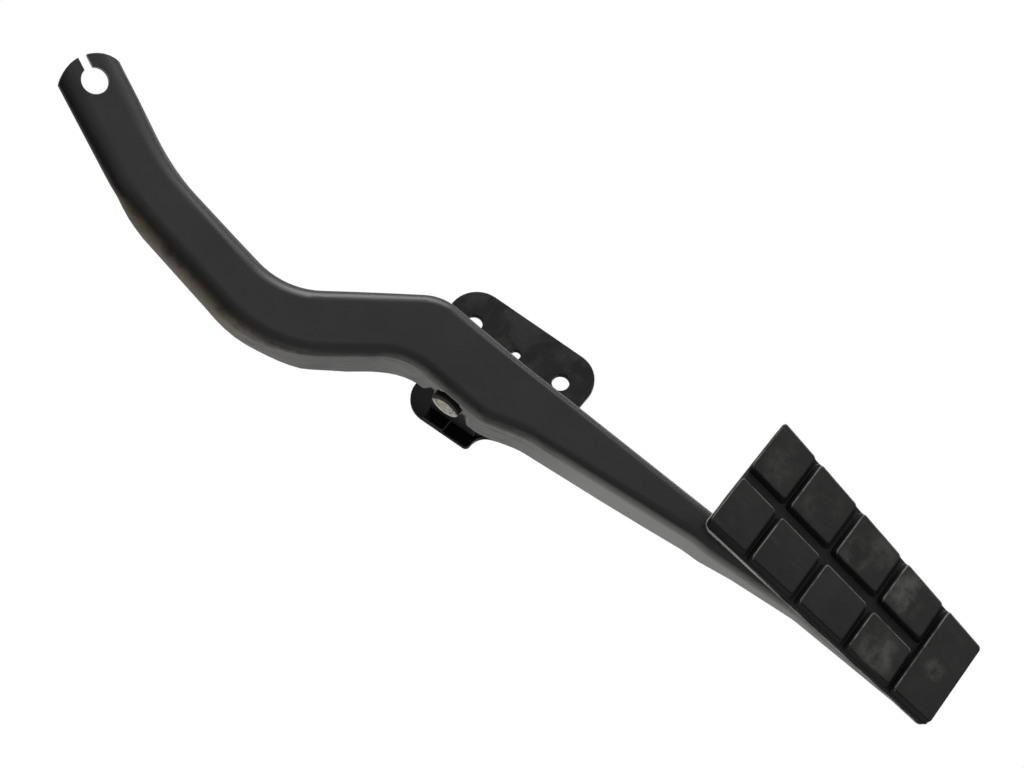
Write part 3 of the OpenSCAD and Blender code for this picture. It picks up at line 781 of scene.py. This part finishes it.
def moulded(name, corners, near, far, s, foot=None, skirt=0.0):
    # a cube whose eight corners go to the outline, its foot spread, then rounded
    clearPick()
    bpy.ops.mesh.primitive_cube_add(size=2, location=(0, 0, 0))
    block = named(name)
    for vert in block.data.vertices:
        toRight, toTop, inFront = vert.co.x > 0, vert.co.z > 0, vert.co.y < 0
        x, z = corners[(1 if toRight else 0) if toTop else (2 if toRight else 3)]
        if foot and not inFront:
            x += foot["right"] if toRight else -foot["left"]
            z += foot["upper"] if toTop else -foot["lower"]
        vert.co = Vector((x, -far if inFront else -near, z)) * mm
    editOn(block)
    selectEdges(block, lambda e: abs(e.verts[0].co.y - e.verts[1].co.y) > touch)
    bpy.ops.mesh.bevel(offset=s["corners"] * mm, segments=s["cornerSegments"], affect="EDGES",
                       clamp_overlap=True)
    if skirt:
        flareSkirt(block, corners, near, skirt)
    selectEdges(block, lambda e: all(v.co.y < -far * mm + touch for v in e.verts))
    bpy.ops.mesh.bevel(offset=s["roll"] * mm, segments=s["rollSegments"], affect="EDGES",
                       clamp_overlap=True)
    editOff()
    return block


def makeBlocks(s, near):
    blocks = []
    lastRow = len(s["rows"]) - 1
    leftOfGroove, rightOfGroove = s["middle"]
    for i, (upper, lower) in enumerate(s["rows"]):
        foot = dict(s["foot"])
        if i == 0:
            foot["upper"] = s["footAtTop"]
        if i == lastRow:
            foot["lower"] = s["footAtBottom"]
        # the lowest row is one block, and each other row has two
        columns = [(s["left"], leftOfGroove), (rightOfGroove, s["right"])]
        if i == lastRow:
            columns = [(s["left"], s["right"])]
        for left, right in columns:
            foot["right"] = s["footAtRight"] if right == s["right"] else s["foot"]["right"]
            blocks.append(moulded("block", outline(upper, lower, left, right), near - s["sink"],
                                  near + s["height"], s, foot, s["skirt"]))
    return blocks


def makeButton(x, z, s):
    # a stub through the steel plate, then a head that widens behind it and tapers off
    clearPick()
    bpy.ops.mesh.primitive_cylinder_add(vertices=s["around"], radius=s["stub"] * mm,
                                        depth=s["stubLength"] * mm,
                                        location=(x * mm, -s["stubLength"] / 2 * mm, z * mm),
                                        rotation=(math.pi / 2, 0, 0))
    applyPlace()
    button = named("button")
    editOn(button, "FACE")
    selectFaces(button, lambda f: f.normal.y > 0.9)
    middle = (x * mm, 0, z * mm)
    bpy.ops.mesh.extrude_region_move(TRANSFORM_OT_translate={"value": (0, s["lipStep"] * mm, 0)})
    bpy.ops.transform.resize(value=(s["lip"], 1, s["lip"]), center_override=middle)
    bpy.ops.mesh.extrude_region_move(TRANSFORM_OT_translate={"value": (0, s["lipHeight"] * mm, 0)})
    bpy.ops.mesh.extrude_region_move(TRANSFORM_OT_translate={"value": (0, s["tipHeight"] * mm, 0)})
    bpy.ops.transform.resize(value=(s["tip"], 1, s["tip"]), center_override=middle)
    bpy.ops.mesh.select_all(action="DESELECT")
    selectFaces(button, lambda f: f.normal.y > 0.9 and f.calc_center_median().y > s["tipFrom"] * mm)
    bpy.ops.mesh.bevel(offset=s["tipRound"] * mm, segments=s["tipSegments"], affect="EDGES")
    editOff()
    return button


def makeTread(s, base, button):
    corners = outline(base["upper"], base["lower"], base["left"], base["right"])
    sheet = moulded("treadBase", corners, base["near"], base["far"], base)
    blocks = makeBlocks(s, base["far"])
    buttons = [makeButton(x, z, button) for x, z in button["places"]]
    tread = joined("treadRubber", sheet, *blocks, *buttons)
    top = base["far"] + s["height"]
    # the faces a shoe rubs, the walls, painted near black as shade, and the rolled edges that look up or
    # to the right, painted light grey as highlights
    flagFaces(tread, "tread", lambda f: f.center.y < -(top - 0.4) * mm)
    flagFaces(tread, "wall", lambda f: f.center.y < -base["near"] * mm and (
        abs(f.normal.y) < 0.5 or f.normal.z < -0.3 or f.normal.x < -0.3))
    flagFaces(tread, "edge", lambda f: f.center.y < -(top - 0.7) * mm and (
        0.30 < -f.normal.y < 0.93) and (f.normal.x > 0.25 or f.normal.z > 0.25))
    place(tread, padPlace)
    smoothByAngle(tread, s["sharp"])
    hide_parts("pad_rubber")
    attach(tread, "arm")
    wear(tread, mouldedRubber)


# steel plate under the tread
padPlateSettings = {"round": 0.45, "overhang": 1.5, "upperEdge": -5}


def makePadPlate(s):
    plate = eased("pad_plate", "padPlate", "arm", padPaint, s["round"])
    toPad, turn = padPlace.inverted(), padPlace.to_3x3()
    for vert in plate.data.vertices:
        # the tread overhangs the plate's upper edge
        if (toPad @ vert.co).z > s["upperEdge"] * mm:
            vert.co += turn @ Vector((0, 0, -s["overhang"] * mm))
    back = turn @ Vector((0, 1, 0))
    # the side faces, which carry the painted highlight
    flagFaces(plate, "rimHighlight", lambda f: f.normal.dot(back) < 0.5)


makeTread(treadSettings, baseSettings, buttonSettings)
makePadPlate(padPlateSettings)
print("stage: tread made")


# floor, light and camera
stageSettings = {
    "floorDrop": 3.8, "floorSize": 60, "paper": ((0.80, 0.80, 0.80), (0.82, 0.82, 0.82)), "rough": 0.9,
    # brightness of the room, and the stretches of direction over which it changes
    "corner": 0.03, "room": 0.27, "sideShare": 0.30,
    "whiteFrom": (-0.35, 0.45), "sideFrom": (0.42, 0.62), "cornerFrom": (-0.45, 0.15),
    "yaw": 22, "roll": 49.8, "aim": (11.13, 0, -15.32), "aimShift": -0.35,
    "lens": 1200.0, "sensor": 36.0, "pixels": 1024, "pixelsPerMm": 2.466, "clip": (0.05, 80.0),
    # shares of up, right and towards the camera, then distance, width, height and power
    "lamps": {"boxKey": ((1.0, 0.24, 0.06), 1.25, 0.7, 0.9, 15),
              "boxFill": ((0.50, 0.42, 0.75), 1.9, 2.0, 2.0, 0.3),
              "boxRim": ((0.42, 0.55, -0.70), 1.2, 0.35, 0.35, 1)},
}


def makeFloor(s):
    clearPick()
    bpy.ops.mesh.primitive_grid_add(x_subdivisions=4, y_subdivisions=4, size=s["floorSize"],
                                    location=(0, 0, -s["floorDrop"]))
    floor = named("floor")
    paper = Finish("palePaper", Metallic=0.0)
    paper.feed("Base Color", paper.blend(paper.noise(3, 2, 0.5), *s["paper"]))
    paper.feed("Roughness", s["rough"] + paper.noise(5, 2, 0.5) * 0.05)
    wear(floor, paper)


def makeWorld(s):
    world = bpy.data.worlds.new("studio")
    bpy.context.scene.world = world
    world.use_nodes = True
    tree = world.node_tree
    tree.nodes.clear()
    split = tree.nodes.new("ShaderNodeSeparateXYZ")
    tree.links.new(tree.nodes.new("ShaderNodeTexCoord").outputs["Generated"], split.inputs[0])

    def spread(axis, start, end, first, last):
        span = tree.nodes.new("ShaderNodeMapRange")
        span.interpolation_type = "SMOOTHSTEP"
        for name, value in zip(("From Min", "From Max", "To Min", "To Max"), (start, end, first, last)):
            span.inputs[name].default_value = value
        tree.links.new(split.outputs[axis], span.inputs["Value"])
        return span.outputs[0]

    # white behind the part, a grey room in front of it with a dark corner on the left
    white = tree.nodes.new("ShaderNodeMath")
    white.operation = "MULTIPLY"
    tree.links.new(spread("Y", *s["whiteFrom"], 0.0, 1.0), white.inputs[0])
    tree.links.new(spread("X", *s["sideFrom"], 1.0, s["sideShare"]), white.inputs[1])
    level = tree.nodes.new("ShaderNodeMix")
    level.inputs["B"].default_value = 1.0
    tree.links.new(white.outputs[0], level.inputs["Factor"])
    tree.links.new(spread("X", *s["cornerFrom"], s["corner"], s["room"]), level.inputs["A"])
    back = tree.nodes.new("ShaderNodeBackground")
    back.inputs["Color"].default_value = (1, 1, 1, 1)
    tree.links.new(level.outputs[0], back.inputs["Strength"])
    tree.links.new(back.outputs[0], tree.nodes.new("ShaderNodeOutputWorld").inputs[0])


def viewAxes(s):
    # the picture's right and up, and the way to the camera, from the arm's own frame
    lean = about("X", restSettings["armLean"], 3)
    yaw, roll = math.radians(s["yaw"]), math.radians(s["roll"])
    upright = lean @ Vector((0, 0, 1))
    across = lean @ Vector((math.cos(yaw), -math.sin(yaw), 0))
    right = math.cos(roll) * across - math.sin(roll) * upright
    up = math.sin(roll) * across + math.cos(roll) * upright
    return right, up, right.cross(up)


def softBox(name, target, direction, distance, width, height, power):
    bpy.ops.object.light_add(type="AREA", location=target + direction.normalized() * distance)
    lamp = bpy.context.object
    lamp.name = name
    lamp.data.shape = "RECTANGLE"
    lamp.data.size, lamp.data.size_y, lamp.data.energy = width, height, power
    lamp.visible_camera = False
    lamp.rotation_mode = "QUATERNION"
    lamp.rotation_quaternion = (-direction).to_track_quat("-Z", "Y")


def makeCamera(target, right, up, toCamera, s):
    # the scale holds at the pivot's depth
    reach = s["pixels"] / s["pixelsPerMm"] * mm * s["lens"] / s["sensor"]
    bpy.ops.object.camera_add(location=target + toCamera * reach)
    camera = bpy.context.object
    camera.name = "photoCamera"
    camera.rotation_mode = "QUATERNION"
    camera.rotation_quaternion = Matrix((right, up, toCamera)).transposed().to_quaternion()
    camera.data.lens, camera.data.sensor_width = s["lens"], s["sensor"]
    camera.data.clip_start, camera.data.clip_end = s["clip"]
    bpy.context.scene.camera = camera
    bpy.context.scene.view_settings.view_transform = "Standard"


def makeStage(s):
    makeFloor(s)
    makeWorld(s)
    right, up, toCamera = viewAxes(s)
    target = armPlace @ (Vector(s["aim"]) * mm) + right * s["aimShift"] * mm
    clearPick()
    for name, ((above, beside, before), *shape) in s["lamps"].items():
        softBox(name, target, up * above + right * beside + toCamera * before, *shape)
    makeCamera(target, right, up, toCamera, s)


makeStage(stageSettings)
print("stage: studio made")
